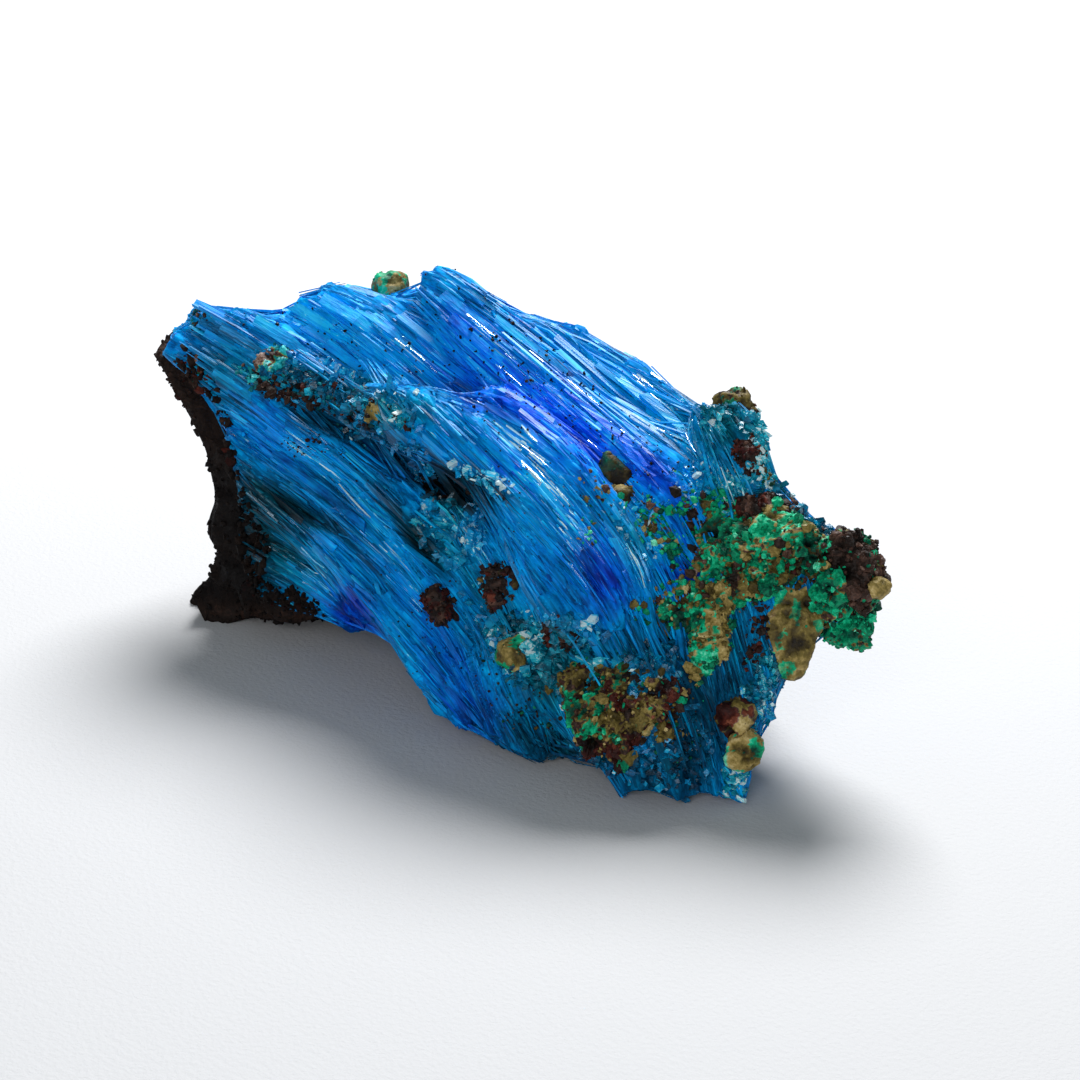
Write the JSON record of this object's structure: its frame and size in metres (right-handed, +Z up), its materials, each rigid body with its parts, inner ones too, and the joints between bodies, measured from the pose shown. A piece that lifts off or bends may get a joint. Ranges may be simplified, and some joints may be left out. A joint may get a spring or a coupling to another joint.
{
  "type": "chalcanthite specimen",
  "caption": "Fibrous blue chalcanthite vein piece on dark wall rock, with a green and ochre crust at its near end.",
  "frame": {"origin": "under the middle of the bounding box, on the surface that the piece rests on", "axes": "+X along the fibres' general run, from the wall rock to the crusted near end; +Z up; -Y is the show side"},
  "size_m": [0.0613, 0.0234, 0.027],
  "materials": {
    "blue_crystal": "satin fibrous crystal, silky along the fibres, glassy on broken tips",
    "wall_rock": "matte, broken",
    "green_crust": "fine grained, dull",
    "brown_crust": "earthy, slightly waxy",
    "ochre_grain": "smooth, waxy",
    "olive_grain": "dull, granular"
  },
  "bodies": {
    "root": {"brown_cap": "brown_crust", "brown_lump_front": "brown_crust", "brown_lump_left": "brown_crust", "brown_lump_low": "brown_crust", "chalcanthite": "blue_crystal", "dark_lump": "brown_crust", "end_block": "brown_crust", "green_crust": "green_crust", "lower_crust": "brown_crust", "ochre_chip": "ochre_grain", "ochre_flake": "ochre_grain", "ochre_grain": "ochre_grain", "ochre_slab": "ochre_grain", "olive_flake": "olive_grain", "oval_pebble": "ochre_grain", "rear_knob": "olive_grain", "red_lump": "brown_crust", "ridge_crust": "green_crust", "small_olive_flake": "olive_grain", "teal_knob": "green_crust", "tip_crust": "green_crust", "tip_grain": "ochre_grain", "top_knob": "olive_grain", "wall_rock": "wall_rock", "yellow_grain": "ochre_grain"}
  },
  "joints": []
}
